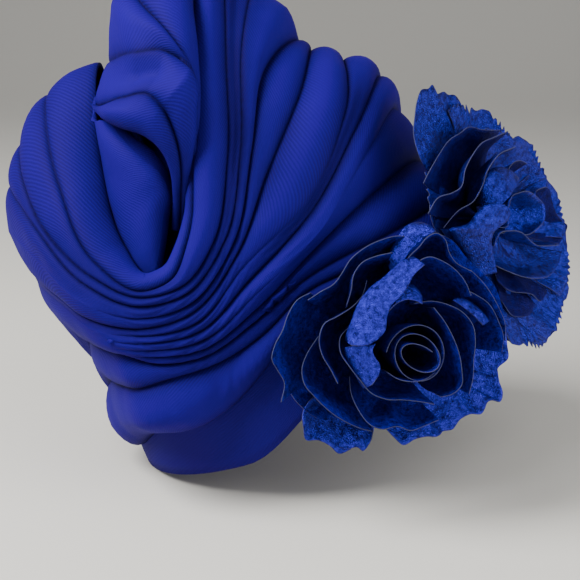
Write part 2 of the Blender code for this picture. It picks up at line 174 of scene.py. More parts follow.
# edge and hidden back of the fold in the middle of the rosette, from the bottom up
FOLD_EDGE = (
    (-77.7, 49.8, 92), (-76.3, 64, 92), (-74.8, 75.8, 93), (-71.9, 86.1, 95), (-75.4, 94.1, 97), (-82.2, 99.6, 97),
    (-92.3, 110, 92), (-99, 119, 80),
)
FOLD_BACK = (
    (-74.7, 53.6, 84), (-72.9, 64.2, 84), (-71.3, 74.8, 86), (-69.1, 84.6, 91), (-71.2, 95.4, 93), (-77.1, 104.5, 93),
    (-87.5, 112.1, 90), (-94, 122, 78),
)
# where the fold lies along the wrap's first seam: spans of the seam, shares of their length, and the gap
FOLD_SPANS = (8, 11)
FOLD_START = 0.06
FOLD_REACH = 0.84
FOLD_BESIDE = (-0.6, 0.0, -0.4)
FOLD_PADDING = 0.35
# padding height, in millimetres, at which the fold's colour reaches full painted light
FOLD_LIT_RISE = 4
FOLD_ALONG_STEPS = 10
FOLD_ACROSS_STEPS = 16
CURVE_STEPS = 12

# the cap's grid, the share of its height that the hem's line reaches, and the slopes of the rise beside each ear,
# in degrees from the front: beginning and breadth, then end and breadth
CAP_LINES = 40
CAP_COLUMNS = 96
HEM_FADE = 5
EAR_FRONT = (20, 40)
EAR_BACK = (122, 34)
POLE_MERGE = 0.00002

# base, facing, then the bud's inner and outer reach, height, windings and slant
FLOWERS = {
    "temple": ((30, 16.5, 84), (0.30, -0.10, 0.95), (6.5, 14.5), 38.0, 2.4, -0.35),
    "forehead": ((77, 73.1, 52.7), (0.79, 0.08, 0.61), (2.5, 6.0), 13.0, 2.2, 0.3),
}
PETAL_WALL = 0.4
# length and depth of the teeth of a pinked edge
PINK_PITCH = 6.0
PINK_DEPTH = 3.8
# spacing of a petal's grid along its lip and its ridge, and grid steps from root to belly and belly to lip
LIP_STEP = 1.1
RIDGE_STEP = 0.5
PETAL_STEPS = 8
# a petal's root: its height, its rise with the petal's own height, and how far it is gathered to the middle
ROOT_HEIGHT = 1.0
ROOT_RISE = 0.14
ROOT_GATHER = 0.25
BELLY_REACH = 0.78
BELLY_RISE = 0.34
# height and wave length of a petal's ruffles, then height, wave length and slant of its dents
RUFFLES = ((1.1, 8.5), (0.5, 3.7))
DENT = (0.7, 5.5, 6)
FOLD_DAMPING = 0.35
# share of the ruffles that is taken out at the lip
LIP_HOLD = 0.8
HALF_TURN = 3.14
FULL_TURN = 6.28
# the bud's grid, first angle, foot, fall of its lip from the middle out, and breadth against length
BUD_LINES = 10
BUD_COLUMNS = 170
BUD_START = 0.9
BUD_FOOT = 5
BUD_FALL = 4
BUD_BREADTH = (0.62, 0.33)
# distance of a root from the middle of its flower; below nothing it lies across the middle
ROOT_REACH = {"cup": 4.5, "lit": 4.5, "fold": 4.5, "flat": -1.8, "under": -1.8, "pinked": -1.8}
# place of the inner side's finish on the petal: 0 is the foil in painted shade, 3 the bright foil; the cut edge and
# the outer side follow it
PETAL_SHADE_SLOT = {"cup": 0, "fold": 0, "under": 0, "lit": 3, "flat": 3, "pinked": 3}

# The floor and the wall behind the hat, in metres: floor level, front edge and whole length, then where the floor
# bends up and how wide the bend is
STAGE_FLOOR = -0.043
STAGE_FRONT = -8.0
STAGE_LENGTH = 13.0
STAGE_BACK = 1.3
STAGE_BEND = 1.0
STAGE_HALF_WIDTH = 9.0
STAGE_STEPS = 90

# place and aim on the side drawing, breadth in metres and power in watts
LIGHTS = {
    "window": ((-700, 700, 500), (-30, 60, 40), 0.7, 26),
    "room": ((500, 500, 700), (0, 40, 40), 1.0, 5),
    "low right": ((740, -60, 360), (60, 40, 60), 0.6, 6),
    "table": ((150, -600, 350), (20, 0, 60), 0.6, 7),
}
AIR_COLOUR = (0.80, 0.82, 0.88, 1)
AIR_STRENGTH = 0.35
# place of the camera along the side drawing's axes, in metres, and its lens and film, in millimetres
CAMERA_ACROSS = -0.0156
CAMERA_UP = 0.0416
CAMERA_AWAY = 0.75
CAMERA_LENS = 89.5
CAMERA_FILM = 36

# painted shade and light: the knit's blue darkened for the valleys and lightened for the ridges
CLOTH_SHADED_VALLEY = (0.005, 0.0, 0.065)
CLOTH_LIT_RIDGE = (0.013, 0.0003, 0.165)
CLOTH_SEAM = (0.001, 0.001, 0.02)
CLOTH_SHEEN = (0.16, 0.08, 1.0, 1)
RIB_SLANT = math.radians(62)
EDGE_DARK = (0.008, 0.010, 0.055)
EDGE_PALE = (0.036, 0.042, 0.110)

# Petal lips round each flower's axis: (angle in degrees, reach, height) along the lip in millimetres.
# A folded petal has a second line, the ridge where it turns back over the middle of the flower.
PETALS = {
    "temple": {
        "inner": (
            ("fold", ((171, 32.5, 38), (169, 26.5, 38), (159, 21.5, 38), (145, 20.5, 38), (134, 23.5, 38),
                (124, 26.5, 38), (113, 28, 38), (104, 31, 38), (97, 35.5, 37), (89, 40, 37)),
                ((170, 33, 35), (163, 32.5, 35), (153, 33, 35), (143, 34.5, 35), (131, 35.5, 35), (115, 36, 35),
                 (103, 38.5, 35), (96, 40.5, 35), (91, 42, 35))),
            ("cup", ((106, 28.5, 33), (99, 36, 34), (92, 41, 35), (85, 43.5, 35), (77, 43, 35), (67, 41.5, 34),
                (55, 39, 33), (45, 36.5, 32))),
            ("fold", ((165, 20.5, 35), (173, 21.5, 35), (182, 20, 35), (193, 18, 35), (204, 19.5, 35),
                (211, 24.5, 35)),
                ((173, 31, 32), (179, 30.5, 32), (185, 29.5, 32), (193, 28, 32), (202, 27, 32), (213, 26.5, 32))),
            ("cup", ((71, 22, 34), (55, 19.5, 35), (32, 18, 36), (4, 19, 37), (-18, 21.5, 37), (-34, 25, 36),
                (-46, 24.5, 35), (-57, 22.5, 34))),
            ("cup", ((-151, 15.5, 34), (-135, 14, 36), (-110, 12, 37), (-75, 11, 36), (-40, 12, 34))),
        ),
        "middle": (
            ("cup", ((158, 32.5, 29), (168, 35.5, 30), (178, 35, 31), (190, 31, 32), (204, 27.5, 32),
                (221, 26, 32), (237, 23.5, 32), (256, 21, 31), (278, 22, 30), (296, 26, 29))),
            ("cup", ((125, 39.5, 28), (134, 36, 29), (146, 36.5, 30), (156, 40.5, 31), (162, 44.5, 31),
                (170, 45, 31), (180, 42.5, 30), (190, 39, 29), (201, 37, 28))),
            ("cup", ((104, 46, 28), (114, 47, 30), (124, 47.5, 31), (131, 45.5, 31), (137, 41.5, 30),
                (146, 38, 28))),
            ("cup", ((92, 22.5, 30), (75, 24.5, 31), (56, 26.5, 32), (41, 28.5, 33), (26, 29.5, 33),
                (10, 28.5, 33), (-6, 28.5, 32), (-21, 31, 31), (-34, 33.5, 30))),
            ("fold", ((128, 24.5, 36), (117, 25.5, 36), (106, 25.5, 36), (95, 24, 36), (88, 22.5, 36)),
                ((123, 27.5, 33), (113, 29, 33), (103, 30, 33), (94, 29, 33), (87, 26, 33))),
        ),
        "outer": (
            ("cup", ((51, 47, 22), (43, 46.5, 25), (35, 46.5, 26), (26, 47, 26), (16, 48, 25), (5, 48.5, 22))),
            ("cup", ((89, 51, 21), (98, 52, 22), (108, 51.5, 23), (117, 51, 24), (126, 50, 24), (133, 48, 24),
                (140, 47, 23), (147, 49.5, 22), (154, 52.5, 21))),
            ("cup", ((150, 51.5, 17), (156, 55.5, 18), (164, 57.5, 19), (171, 58.5, 20), (177, 61, 20),
                (183, 62.5, 20), (188, 60, 19), (194, 57.5, 18), (202, 61, 17))),
            ("cup", ((171, 41.5, 19), (181, 46, 20), (189, 49, 21), (197, 49.5, 22), (204, 47.5, 22),
                (214, 45, 22), (226, 42.5, 21), (238, 40.5, 20), (249, 39, 19))),
            ("cup", ((-158, 29, 22), (-144, 32, 23), (-130, 34.5, 24), (-118, 36.5, 25), (-109, 36.5, 25),
                (-97, 34, 25), (-86, 36, 24), (-75, 35.5, 23), (-62, 36, 22))),
            ("cup", ((98, 39, 26), (92, 44, 27), (88, 47.5, 28), (85, 51.5, 29), (80, 54, 29), (75, 52, 29),
                (71, 48, 28), (64, 45, 27), (52, 46, 26))),
            ("fold", ((106, 34, 25), (97, 40, 25), (91, 45.5, 25), (86, 49, 25), (83, 52, 25), (79, 55, 25)),
                ((105, 38.5, 22), (99, 45, 22), (94, 50, 22), (90, 54, 22), (85, 56, 22), (81, 57, 22))),
            ("cup", ((62, 38.5, 23), (50, 37.5, 25), (40, 40, 26), (30, 43, 26), (19, 44.5, 26), (8, 46.5, 25),
                (-1, 46.5, 23))),
            ("fold", ((51, 30, 27), (40, 31.5, 27), (28, 34, 27), (19, 36.5, 27)),
                ((47, 34, 24), (37, 36.5, 24), (27, 39, 24), (19, 41, 24))),
        ),
        "outermost": (
            ("flat", ((-150, 40.5, 6), (-149, 47, 7), (-146, 52.5, 8), (-140, 56.5, 9), (-135, 59, 9),
                (-131, 55.5, 9), (-124, 54, 8), (-117, 55, 7), (-112, 51, 6))),
            ("flat", ((-120, 52.5, 6), (-115, 51.5, 8), (-110, 49, 9), (-107, 50, 9), (-104, 45.5, 9),
                (-104, 39.5, 8), (-107, 34.5, 6))),
            ("flat", ((-97, 36.5, 6), (-93, 39, 7), (-88, 42.5, 8), (-83, 46, 9), (-76, 44.5, 9), (-68, 45.5, 8),
                (-60, 48.5, 7), (-54, 47, 6))),
            ("flat", ((-64, 48, 6), (-57, 47.5, 8), (-53, 49, 9), (-46, 48, 9), (-40, 50, 9), (-36, 55, 8),
                (-29, 55.5, 6))),
            ("flat", ((-38, 53, 6), (-32, 53.5, 8), (-28, 55, 9), (-26, 60, 9), (-22, 59, 9), (-18, 56, 8),
                (-12, 54, 6))),
            ("flat", ((-17, 53, 7), (-11, 53, 9), (-6, 56.5, 10), (0, 55.5, 10), (8, 55, 9), (15, 54, 7))),
            ("under", ((7, 54, 5), (15, 56, 7), (22, 56, 8), (30, 56, 8), (39, 54.5, 7), (46, 53.5, 5))),
            ("under", ((39, 54.5, 5), (51, 53.5, 7), (62, 55.5, 8), (70, 55, 8), (77, 53, 7), (83, 49, 5))),
            ("under", ((76, 49, 5), (88, 46, 7), (99, 44, 8), (112, 42.5, 8), (122, 42.5, 7), (133, 40.5, 5))),
            ("under", ((123, 40.5, 5), (137, 41.5, 7), (148, 43.5, 8), (158, 47, 8), (166, 49, 7), (175, 49.5, 5))),
            ("under", ((164, 49, 5), (173, 52.5, 7), (181, 55, 8), (188, 55.5, 8), (196, 53.5, 7), (204, 51, 5))),
            ("under", ((-168, 52, 5), (-161, 53.5, 7), (-155, 53, 8), (-147, 51, 8), (-140, 49, 7), (-133, 46, 5))),
        ),
    },
    "forehead": {
        "inner": (
            ("cup", ((-175, 48, 8), (-185, 42.5, 13), (-193, 36, 17), (-205, 35, 20), (-214, 38, 23),
                (-227, 37.5, 25), (-253, 35, 27))),
            ("fold", ((168, 25, 18), (165, 21, 20), (157, 18.5, 22), (146, 17.5, 24), (125, 16.5, 24),
                (103, 17.5, 24)),
                ((164, 24, 12), (156, 26, 14), (150, 29, 16), (142, 31, 18), (130, 29.5, 19), (114, 26.5, 20),
                 (101, 23.5, 21), (90, 20, 22))),
            ("fold", ((-111, 26, 12), (-130, 23, 14), (-147, 23.5, 16), (-159, 24, 18), (-166, 23.5, 20),
                (-171, 19.5, 22), (-177, 17, 24), (-188, 16.5, 25), (-196, 21.5, 25)),
                ((-126, 32.5, 4), (-141, 30, 6), (-160, 35.5, 8), (-170, 42.5, 10), (-174, 48, 12),
                 (-175, 42, 14), (-177, 37, 16), (-183, 34, 18), (-191, 30, 20), (-195, 26.5, 22))),
            ("lit", ((135, 8.5, 19), (113, 11.5, 20), (74, 14, 20), (43, 21.5, 19), (25, 29, 18), (13, 35, 17),
                (4, 35, 16), (-4, 29, 15), (-16, 20, 14), (-24, 12, 13))),
        ),
        "middle": (
            ("cup", ((178, 59, 7), (171, 55.5, 10), (166, 48, 13), (161, 44.5, 15), (152, 46.5, 17),
                (143, 47, 19), (133, 46, 20), (118, 42.5, 21), (100, 42.5, 22))),
            ("cup", ((102, 20.5, 18), (101, 24.5, 19), (92, 27.5, 20), (78, 29.5, 20), (62, 32, 19))),
            ("lit", ((-132, 16, 12), (-146, 11.5, 15), (-106, 5, 16), (-27, 11.5, 16), (-22, 21.5, 15),
                (-20, 30.5, 14), (-14, 43.5, 13), (-10, 57, 12))),
        ),
        "outer": (
            ("cup", ((163, 57, 3), (155, 56, 5), (146, 55, 7), (137, 54, 9), (129, 52, 11), (122, 51, 12),
                (112, 46, 14), (93, 44, 15))),
            ("cup", ((21, 34, 13), (27, 35.5, 14), (26, 42.5, 14), (21, 51, 13), (14, 53.5, 12), (7, 58, 11),
                (3, 65.5, 10), (1, 72.5, 9), (-4, 67.5, 9), (-8, 62.5, 9))),
            ("lit", ((-105, 21.5, 10), (-83, 24, 12), (-61, 30, 13), (-45, 38.5, 13), (-32, 48, 13),
                (-20, 57, 12), (-12, 62, 11))),
            ("cup", ((-89, 28, 6), (-84, 31.5, 8), (-72, 35, 9), (-60, 39, 10), (-51, 44.5, 10), (-45, 53.5, 9),
                (-35, 57.5, 8))),
            ("cup", ((-80, 31.5, 3), (-81, 36.5, 4), (-78, 41, 5), (-74, 46, 6), (-66, 49.5, 7), (-56, 53, 7),
                (-48, 52.5, 7))),
            ("lit", ((103, 45.5, 12), (87, 43.5, 13), (70, 43, 14), (54, 45, 14), (39, 48, 13), (27, 53, 12))),
        ),
        "outermost": (
            ("flat", ((152, 47.5, 1), (153, 58, 1), (150, 64, 1), (145, 69.5, 1), (140, 72, 1), (134, 75.5, 1),
                (128, 77, 1), (124, 74.5, 1), (121, 74.5, 1), (121, 70.5, 1), (114, 67.5, 1), (112, 65.5, 1),
                (109, 64.5, 2), (105, 60, 2), (105, 55, 3), (107, 49.5, 3), (112, 45.5, 4))),
            ("pinked", ((119, 60, 3), (110, 61, 4), (100, 57, 4), (87, 56.5, 5), (78, 54, 6), (71, 51.5, 7),
                (63, 48.5, 8))),
            ("pinked", ((80, 46.5, 8), (67, 49.5, 8), (54, 54, 9), (43, 59, 9), (35, 59, 9), (27, 58.5, 10),
                (22, 54.5, 10))),
            ("pinked", ((35, 49.5, 10), (26, 58.5, 10), (18, 63.5, 10), (12, 67.5, 10), (6, 68.5, 10),
                (1, 69.5, 10), (-5, 64, 10))),
            ("pinked", ((6, 64, 10), (1, 70.5, 10), (-6, 69.5, 10), (-12, 73, 10), (-18, 75, 10), (-25, 72, 10),
                (-32, 67, 10))),
            ("pinked", ((-22, 68, 10), (-25, 75.5, 10), (-32, 74.5, 9), (-39, 76, 9), (-46, 75, 9),
                (-55, 70.5, 8), (-64, 66, 8))),
            ("pinked", ((-48, 73.5, 8), (-59, 71.5, 8), (-68, 65.5, 8), (-77, 61.5, 8), (-85, 56.5, 7),
                (-90, 49.5, 6))),
            ("pinked", ((-79, 59.5, 6), (-90, 54, 6), (-99, 48, 5), (-107, 41.5, 4), (-115, 35, 3))),
            ("pinked", ((-120, 42, 3), (-132, 39, 2), (-148, 39, 2), (-162, 38.5, 2), (-176, 40, 1))),
            ("pinked", ((-156, 39.5, 1), (-171, 44.5, 1), (-184, 48, 1), (-195, 51.5, 1), (-204, 55, 1))),
            ("flat", ((0, 7, 0.3), (60, 7, 0.3), (120, 7, 0.3), (180, 7, 0.3), (240, 7, 0.3), (300, 7, 0.3),
                (360, 7, 0.3))),
        ),
    },
}


def drawing_axes():
    across = np.array((math.cos(DRAWING_TURN), math.sin(DRAWING_TURN), 0))
    toward = np.array((math.sin(DRAWING_TURN) * math.cos(DRAWING_LIFT),
                       -math.cos(DRAWING_TURN) * math.cos(DRAWING_LIFT),
                       math.sin(DRAWING_LIFT)))
    return np.array((across, np.cross(toward, across), toward))


DRAWING = drawing_axes()
HEAD_MIDDLE = Vector((0, 0, 0.03))
RIM_TURN = np.array(((math.cos(RIM_PITCH), 0, math.sin(RIM_PITCH)),
                     (0, 1, 0),
                     (-math.sin(RIM_PITCH), 0, math.cos(RIM_PITCH))))


def hat_point(drawn):
    return np.asarray(drawn, float) @ DRAWING


def on_rim(point):
    return np.asarray(point, float) @ RIM_TURN.T


def off_rim(point):
    return np.asarray(point, float) @ RIM_TURN


def cap_height(point):
    """Distance above the cap's outer surface, and the way out from it."""
    local = on_rim(point)
    level = np.linalg.norm(local / CAP_AXES, axis=-1, keepdims=True)
    slope = local / (CAP_AXES ** 2 * level)
    steep = np.linalg.norm(slope, axis=-1, keepdims=True)
    return (level - 1) / steep, off_rim(slope / steep)


def lift_off_cap(points, least):
    for _ in range(3):
        height, out = cap_height(points)
        points = points + out * np.maximum(least - height, 0)
    return points


def dome_path(start, end_angle, shares):
    """Points from start round the dome to a place above the left rim."""
    local = on_rim(start) / CAP_AXES
    level = np.linalg.norm(local)
    first = local / level
    rise = FAR_RIM_HEIGHT / CAP_AXES[2]
    flat = math.sqrt(1 - rise ** 2)
    last = np.array((flat * math.cos(end_angle), flat * math.sin(end_angle), rise))
    whole = math.acos(float(np.clip(first @ last, -1, 1)))
    path = []
    for share in shares:
        mix = (first * math.sin((1 - share) * whole) + last * math.sin(share * whole)) / math.sin(whole)
        path.append(off_rim(mix * CAP_AXES * (level + (FAR_LEVEL - level) * share)))
    return path


def through(points, places):
    """A smooth curve through the points along the first axis, sampled at the given places in each span."""
    points = np.asarray(points, float)
    span = np.linalg.norm(points[1:] - points[:-1], axis=-1, keepdims=True) + 1e-6
    chord = (points[1:] - points[:-1]) / span
    slope = np.empty_like(points)
    slope[0], slope[-1] = chord[0], chord[-1]
    slope[1:-1] = (chord[:-1] * span[1:] + chord[1:] * span[:-1]) / (span[1:] + span[:-1])
    curve = []
    for k in range(len(points) - 1):
        for t in places:
            curve.append((2 * t ** 3 - 3 * t ** 2 + 1) * points[k]
                         + (t ** 3 - 2 * t ** 2 + t) * span[k] * slope[k]
                         + (3 * t ** 2 - 2 * t ** 3) * points[k + 1]
                         + (t ** 3 - t ** 2) * span[k] * slope[k + 1])
    curve.append(points[-1])
    return np.array(curve)


def even_places(count):
    return [i / count for i in range(count)]


def crowded_places(count):
    """Places crowded toward the seams, where the padding falls away fastest."""
    return [0.5 - 0.5 * math.cos(math.pi * i / count) for i in range(count)]


def grid_normals(grid):
    normal = np.cross(np.gradient(grid, axis=1), np.gradient(grid, axis=0))
    return normal / (np.linalg.norm(normal, axis=2, keepdims=True) + 1e-9)


def pad_height(left, right):
    """Narrow pleats are rounded like cords, wide ones are soft and flat with a shallow valley."""
    width = left + right + 1e-6
    place = np.clip(left / width, 0, 1)
    softness = 0.5 + 0.4 * np.clip((width - 6) / 16, 0, 1)
    return PAD_HEIGHT * (1 - np.exp(-PAD_RATE * width)) * (4 * place * (1 - place)) ** softness


def pad_rise(rows, places, strength):
    """Height of the padding over the base sheet: none at a seam, most in the middle of a pleat."""
    count = len(rows)
    gaps = np.linalg.norm(rows[1:] - rows[:-1], axis=2)
    place = np.vstack((np.zeros(rows.shape[1]), np.cumsum(gaps, axis=0)))
    kept = [j for j in range(count) if strength[j] is None]
    rise, stitch = [], []
    for j in range(count - 1):
        low = max(k for k in kept if k <= j)
        high = min(k for k in kept if k > j)
        first = 1.0 if strength[j] is None else strength[j]
        second = 1.0 if strength[j + 1] is None else strength[j + 1]
        for share in places:
            here = place[j] + gaps[j] * share
            close = pad_height(here - place[j], place[j + 1] - here)
            wide = pad_height(here - place[low], place[high] - here)
            rise.append(wide + (close - wide) * (first * (1 - share) + second * share))
            stitch.append(np.maximum(first * np.exp(-((here - place[j]) / STITCH_REACH) ** 2),
                                     second * np.exp(-((place[j + 1] - here) / STITCH_REACH) ** 2)))
    rise.append(np.zeros(rows.shape[1]))
    stitch.append(np.ones(rows.shape[1]))
    return np.array(rise), np.array(stitch)


def fine_folds(rows, places, height):
    """Small folds running with the seams at an even pitch, as tall as the given height."""
    gaps = np.linalg.norm(rows[1:] - rows[:-1], axis=2)
    start = np.vstack((np.zeros(rows.shape[1]), np.cumsum(gaps, axis=0)))
    sway = np.arange(rows.shape[1]) / 9.0
    folds = []
    for j in range(len(gaps)):
        for share in places:
            here = start[j] + gaps[j] * share
            turn = 2 * math.pi * here / FINE_FOLD_PITCH + 1.3 * np.sin(sway + j) + 0.8 * np.sin(sway * 2.3 + 2 * j)
            folds.append(height * np.sin(turn) * math.sin(math.pi * share))
    folds.append(np.zeros(rows.shape[1]))
    return np.array(folds)


def ripple(points, wave, seed):
    """Gentle unevenness from a few crossing waves, between -1 and 1."""
    draw = np.random.RandomState(seed)
    total = np.zeros(points.shape[:-1])
    for _ in range(6):
        way = draw.normal(size=3)
        way = way / np.linalg.norm(way) * draw.uniform(0.7, 1.4)
        total = total + np.sin(2 * math.pi * (points @ way) / wave + draw.uniform(0, FULL_TURN))
    return total / 6


def ripples(points, waves):
    return sum(height * ripple(points, wave, seed) for height, wave, seed in waves)


def stretch(values, places, before=3, after=3):
    """Values at the drawing points, carried along the whole seam and on round the far side."""
    whole = [values[0]] * before + list(values) + [values[-1]] * after
    line = [whole[k] + (whole[k + 1] - whole[k]) * t for k in range(len(whole) - 1) for t in places]
    line.append(whole[-1])
    return np.array(line)


def pad_shares(table, places, across, before=3, after=3):
    """The padding's share at every point, changing evenly from the middle of one pleat to the next."""
    pleats = np.array([stretch(row, places, before, after) for row in table])
    last = len(pleats) - 1
    shares = []
    for j in range(len(pleats)):
        for share in across:
            place = min(max(j + share - 0.5, 0), last)
            low = int(place)
            mix = place - low
            shares.append(pleats[low] * (1 - mix) + pleats[min(low + 1, last)] * mix)
    shares.append(pleats[last])
    return np.array(shares)


def lengths_along(grid):
    """Distance along and across the sheet in metres at every point, for the cloth's grain."""
    along = np.linalg.norm(np.diff(grid, axis=1), axis=2).mean(axis=0)
    across = np.linalg.norm(np.diff(grid, axis=0), axis=2).mean(axis=1)
    return (np.concatenate(((0,), np.cumsum(along))) * MM, np.concatenate(((0,), np.cumsum(across))) * MM)


def sheet_mesh(shape, grid, depth=None, stitch=None):
    """Lay a grid of faces over the points, with marks for the painted shade of the valleys and the painted light of
    the ridges, and marks that tell seam from cloth.
    """
    lines, columns = grid.shape[:2]
    uv = shape.loops.layers.uv.verify()
    painted_light_share = shape.verts.layers.float.get("ridge") or shape.verts.layers.float.new("ridge")
    sewn = shape.verts.layers.float.get("seam") or shape.verts.layers.float.new("seam")
    made = bmesh.ops.create_grid(shape, x_segments=columns - 1, y_segments=lines - 1, size=1)["verts"]
    along, across = lengths_along(grid)
    for vert in made:
        k = round((vert.co.x + 1) / 2 * (columns - 1))
        i = round((vert.co.y + 1) / 2 * (lines - 1))
        vert.co = Vector(grid[i, k] * MM)
        # share of painted light on the ridges against painted shade in the valleys; a middle share where none is given
        vert[painted_light_share] = 0.5 if depth is None else float(depth[i, k])
        vert[sewn] = 0.0 if stitch is None else float(stitch[i, k])
        for loop in vert.link_loops:
            loop[uv].uv = (along[k], across[i])
    return made


def put_in_scene(name, data):
    thing = bpy.data.objects.new(name, data)
    bpy.context.scene.collection.objects.link(thing)
    return thing


def piece_from(name, shape, finishes, wall, outward=-1.0, rim=None, back=0):
    """A piece with a wall of even thickness, its place in its mesh."""
    mesh = bpy.data.meshes.new(name)
    shape.to_mesh(mesh)
    shape.free()
    piece = put_in_scene(name, mesh)
    for finish in finishes:
        mesh.materials.append(finish)
    mesh.shade_smooth()
    thick = piece.modifiers.new("wall", "SOLIDIFY")
    thick.thickness = wall * MM
    thick.offset = outward
    thick.use_rim = True
    if rim is not None:
        thick.material_offset_rim = rim
        thick.material_offset = back
    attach(piece, ROOT)
    return piece


def point_outward(piece):
    """Turn every face over if the sheet as a whole looks toward the head."""
    mesh = piece.data
    total = sum(polygon.normal.dot(polygon.center - HEAD_MIDDLE) * polygon.area for polygon in mesh.polygons)
    if total < 0:
        mesh.flip_normals()


def padded_piece(name, node, grid, ridge, stitch, finish, wall):
    shape = bmesh.new()
    sheet_mesh(shape, grid, ridge, stitch)
    piece = piece_from(name, shape, [finish], wall)
    point_outward(piece)
    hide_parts(node)


def leather_piece(name, node, shape, finishes):
    piece = piece_from(name, shape, finishes, PETAL_WALL, outward=0, rim=1, back=2)
    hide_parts(node)
    return piece


def new_finish(name):
    finish = bpy.data.materials.new(name)
    finish.use_nodes = True
    nodes = finish.node_tree.nodes
    return finish, nodes, finish.node_tree.links, nodes["Principled BSDF"]


def settle(node, values):
    for name, value in values.items():
        node.inputs[name].default_value = value


def blend_colours(nodes, links, share, first, second):
    """Colour between the first and the second; the first may be a colour or the outlet of another node."""
    mix = nodes.new("ShaderNodeMix")
    mix.data_type = "RGBA"
    links.new(share, mix.inputs[0])
    if isinstance(first, tuple):
        mix.inputs[6].default_value = (*first, 1)
    else:
        links.new(first, mix.inputs[6])
    mix.inputs[7].default_value = (*second, 1)
    return mix.outputs[2]


def noise(nodes, links, place, scale, detail=2):
    """A noise pattern on the piece's own coordinates."""
    pattern = nodes.new("ShaderNodeTexNoise")
    settle(pattern, {"Scale": scale, "Detail": detail})
    links.new(place.outputs["Object"], pattern.inputs["Vector"])
    return pattern


def reckon(nodes, links, operation, *terms):
    """The outlet of one step of reckoning with numbers and other outlets."""
    step = nodes.new("ShaderNodeMath")
    step.operation = operation
    for inlet, term in zip(step.inputs, terms):
        if isinstance(term, bpy.types.NodeSocket):
            links.new(term, inlet)
        else:
            inlet.default_value = term
    return step.outputs[0]


def raise_surface(nodes, links, shader, height, strength, distance):
    bump = nodes.new("ShaderNodeBump")
    settle(bump, {"Strength": strength, "Distance": distance})
    links.new(height, bump.inputs["Height"])
    links.new(bump.outputs["Normal"], shader.inputs["Normal"])


def knit_cloth(name, valley, ridge):
    """Smooth padded knit: a fine slanting rib, a soft sheen, and painted shade in the valleys with painted light on
    the ridges.
    """
    finish, nodes, links, shader = new_finish(name)
    uv = nodes.new("ShaderNodeUVMap")
    place = nodes.new("ShaderNodeTexCoord")
    turn = nodes.new("ShaderNodeMapping")
    settle(turn, {"Rotation": (0, 0, RIB_SLANT)})
    links.new(uv.outputs["UV"], turn.inputs["Vector"])
    rib = nodes.new("ShaderNodeTexWave")
    settle(rib, {"Scale": 300, "Distortion": 1.2, "Detail": 1.0})
    links.new(turn.outputs["Vector"], rib.inputs["Vector"])
    nap = noise(nodes, links, place, scale=1500, detail=3)
    slub = noise(nodes, links, place, scale=42, detail=3)
    pucker = noise(nodes, links, place, scale=420)
    height = reckon(nodes, links, "MULTIPLY_ADD", rib.outputs["Fac"], 0.6, nap.outputs["Fac"])
    raise_surface(nodes, links, shader, height, strength=0.55, distance=0.00025)
    # painted shade and light: the padding mark darkens the blue in the valleys and lightens it on the ridges, mixed
    # with slub and rib
    painted_light_share = nodes.new("ShaderNodeAttribute")
    painted_light_share.attribute_name = "ridge"
    uneven = reckon(nodes, links, "MULTIPLY_ADD", slub.outputs["Fac"], 0.35, painted_light_share.outputs["Fac"])
    ribbed = reckon(nodes, links, "MULTIPLY_ADD", rib.outputs["Fac"], 0.45, uneven)
    share = reckon(nodes, links, "SUBTRACT", ribbed, 0.2)
    share.node.use_clamp = True
    cloth = blend_colours(nodes, links, share, valley, ridge)
    seam = nodes.new("ShaderNodeAttribute")
    seam.attribute_name = "seam"
    sewn = reckon(nodes, links, "MULTIPLY", seam.outputs["Fac"], pucker.outputs["Fac"])
    links.new(blend_colours(nodes, links, sewn, cloth, CLOTH_SEAM), shader.inputs["Base Color"])
    settle(shader, {"Roughness": 0.68, "Specular IOR Level": 0.05, "Sheen Weight": 0.04, "Sheen Roughness": 0.35,
                    "Sheen Tint": CLOTH_SHEEN})
    return finish


def foil_leather(name, deep, bright, metal=0.8, roughness=0.36, gloss=0.2):
    """Foil over crinkled leather: metallic and finely grained, its colour running from deep to bright with the grain
    as a painted sparkle beside the sparkle from the bumps.
    """
    finish, nodes, links, shader = new_finish(name)
    place = nodes.new("ShaderNodeTexCoord")
    grain = nodes.new("ShaderNodeTexVoronoi")
    settle(grain, {"Scale": 1500})
    links.new(place.outputs["Object"], grain.inputs["Vector"])
    crinkle = noise(nodes, links, place, scale=1000, detail=4)
    settle(crinkle, {"Roughness": 0.7, "Distortion": 0.5})
    cloud = noise(nodes, links, place, scale=420, detail=3)
    height = reckon(nodes, links, "MULTIPLY_ADD", grain.outputs["Distance"], 0.5, crinkle.outputs["Fac"])
    raise_surface(nodes, links, shader, height, strength=0.8, distance=0.0008)
    # painted sparkle: the grain's noise lightens and darkens the foil's colour
    share = nodes.new("ShaderNodeMapRange")
    settle(share, {"From Min": 0.76, "From Max": 1.29})
    both = reckon(nodes, links, "ADD", crinkle.outputs["Fac"], cloud.outputs["Fac"])
    links.new(both, share.inputs["Value"])
    links.new(blend_colours(nodes, links, share.outputs[0], deep, bright), shader.inputs["Base Color"])
    settle(shader, {"Metallic": metal, "Roughness": roughness, "Specular IOR Level": gloss})
    return finish


def cut_edge(name):
    """The cut edge of the leather, paler than its insides."""
    finish, nodes, links, shader = new_finish(name)
    fleck = noise(nodes, links, nodes.new("ShaderNodeTexCoord"), scale=260)
    colour = blend_colours(nodes, links, fleck.outputs["Fac"], EDGE_DARK, EDGE_PALE)
    links.new(colour, shader.inputs["Base Color"])
    settle(shader, {"Roughness": 0.8})
    return finish


